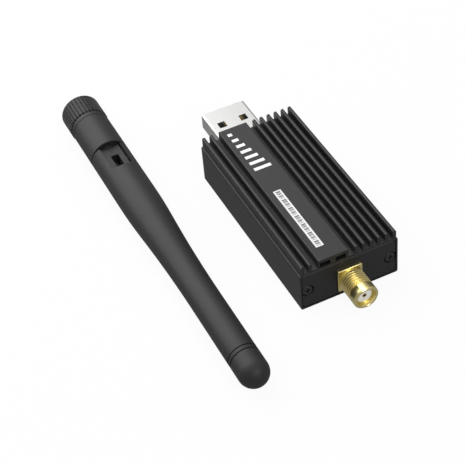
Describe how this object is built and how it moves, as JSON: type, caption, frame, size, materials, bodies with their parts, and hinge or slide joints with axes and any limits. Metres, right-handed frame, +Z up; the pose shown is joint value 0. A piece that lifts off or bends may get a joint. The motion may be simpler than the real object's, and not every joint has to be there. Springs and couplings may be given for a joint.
{
  "type": "smart home usb radio stick",
  "caption": "Finned metal radio stick with a USB plug and a threaded antenna jack, and its folding whip antenna unscrewed beside it.",
  "frame": {"origin": "centre of the case's flat underside", "axes": "+Y from the case towards the USB plug, +Z up through the fins, +X to the right seen from the antenna jack"},
  "size_m": [0.0497, 0.1065, 0.0135],
  "materials": {
    "black_anodised": "black anodised, satin",
    "plate_black": "black anodised, satin",
    "screw_black": "black oxide, semi-gloss",
    "board_laminate": "solder mask over laminate",
    "plug_steel": "nickel plated sheet steel",
    "plug_plastic": "moulded, satin",
    "contact_gold": "gold plated",
    "jack_gold": "gold plated, polished",
    "white_insulator": "turned, smooth",
    "tinned_steel": "plated, satin",
    "chip_plastic": "moulded, matt",
    "ceramic_tan": "fired ceramic",
    "lamp_clear": "clear resin",
    "label_white": "satin film",
    "antenna_black": "moulded, fine texture",
    "nut_brass": "turned, nickel-free",
    "lead_jacket": "extruded, smooth",
    "copper": "bare copper"
  },
  "bodies": {
    "stick": {"case_extrusion": "black_anodised", "jack_end_plate": "plate_black", "plug_end_plate": "plate_black", "jack_plate_screws": "screw_black", "plug_plate_screws": "screw_black", "circuit_board": "board_laminate", "usb_plug_shell": "plug_steel", "usb_plug_insulator": "plug_plastic", "usb_plug_contacts": "contact_gold", "jack_body": "jack_gold", "jack_insulator": "white_insulator", "jack_contact": "contact_gold", "radio_shield_can": "tinned_steel", "radio_chip": "chip_plastic", "radio_crystal": "tinned_steel", "usb_bridge_chip": "chip_plastic", "clock_crystal": "tinned_steel", "voltage_regulator": "chip_plastic", "capacitors": "ceramic_tan", "status_lamps": "lamp_clear", "label_sticker": "label_white", "retaining_ring": "tinned_steel", "connector_body": "jack_gold", "connector_insulator": "white_insulator", "connector_pin": "contact_gold", "antenna_knuckle": "antenna_black", "antenna_lead": "lead_jacket", "hinge_pins": "tinned_steel"},
    "antenna_nut": {"antenna_sleeve": "antenna_black", "coupling_nut": "nut_brass"},
    "whip": {"whip_sheath": "antenna_black", "whip_cap": "antenna_black", "whip_lead": "lead_jacket", "radiator_sleeve": "nut_brass", "radiator_spacer": "white_insulator", "radiator_rod": "copper"}
  },
  "joints": [
    {"name": "nut_spin", "type": "hinge", "parent": "stick", "child": "antenna_nut", "pos_m": [-0.0318, 0.06175, 0.00519], "axis": [-0.0049, -1, -0.0053], "continuous": true},
    {"name": "whip_tilt", "type": "hinge", "parent": "stick", "child": "whip", "pos_m": [-0.03193, 0.03564, 0.00705], "axis": [-1, 0.0049, 0], "range_deg": [0, 90]}
  ]
}
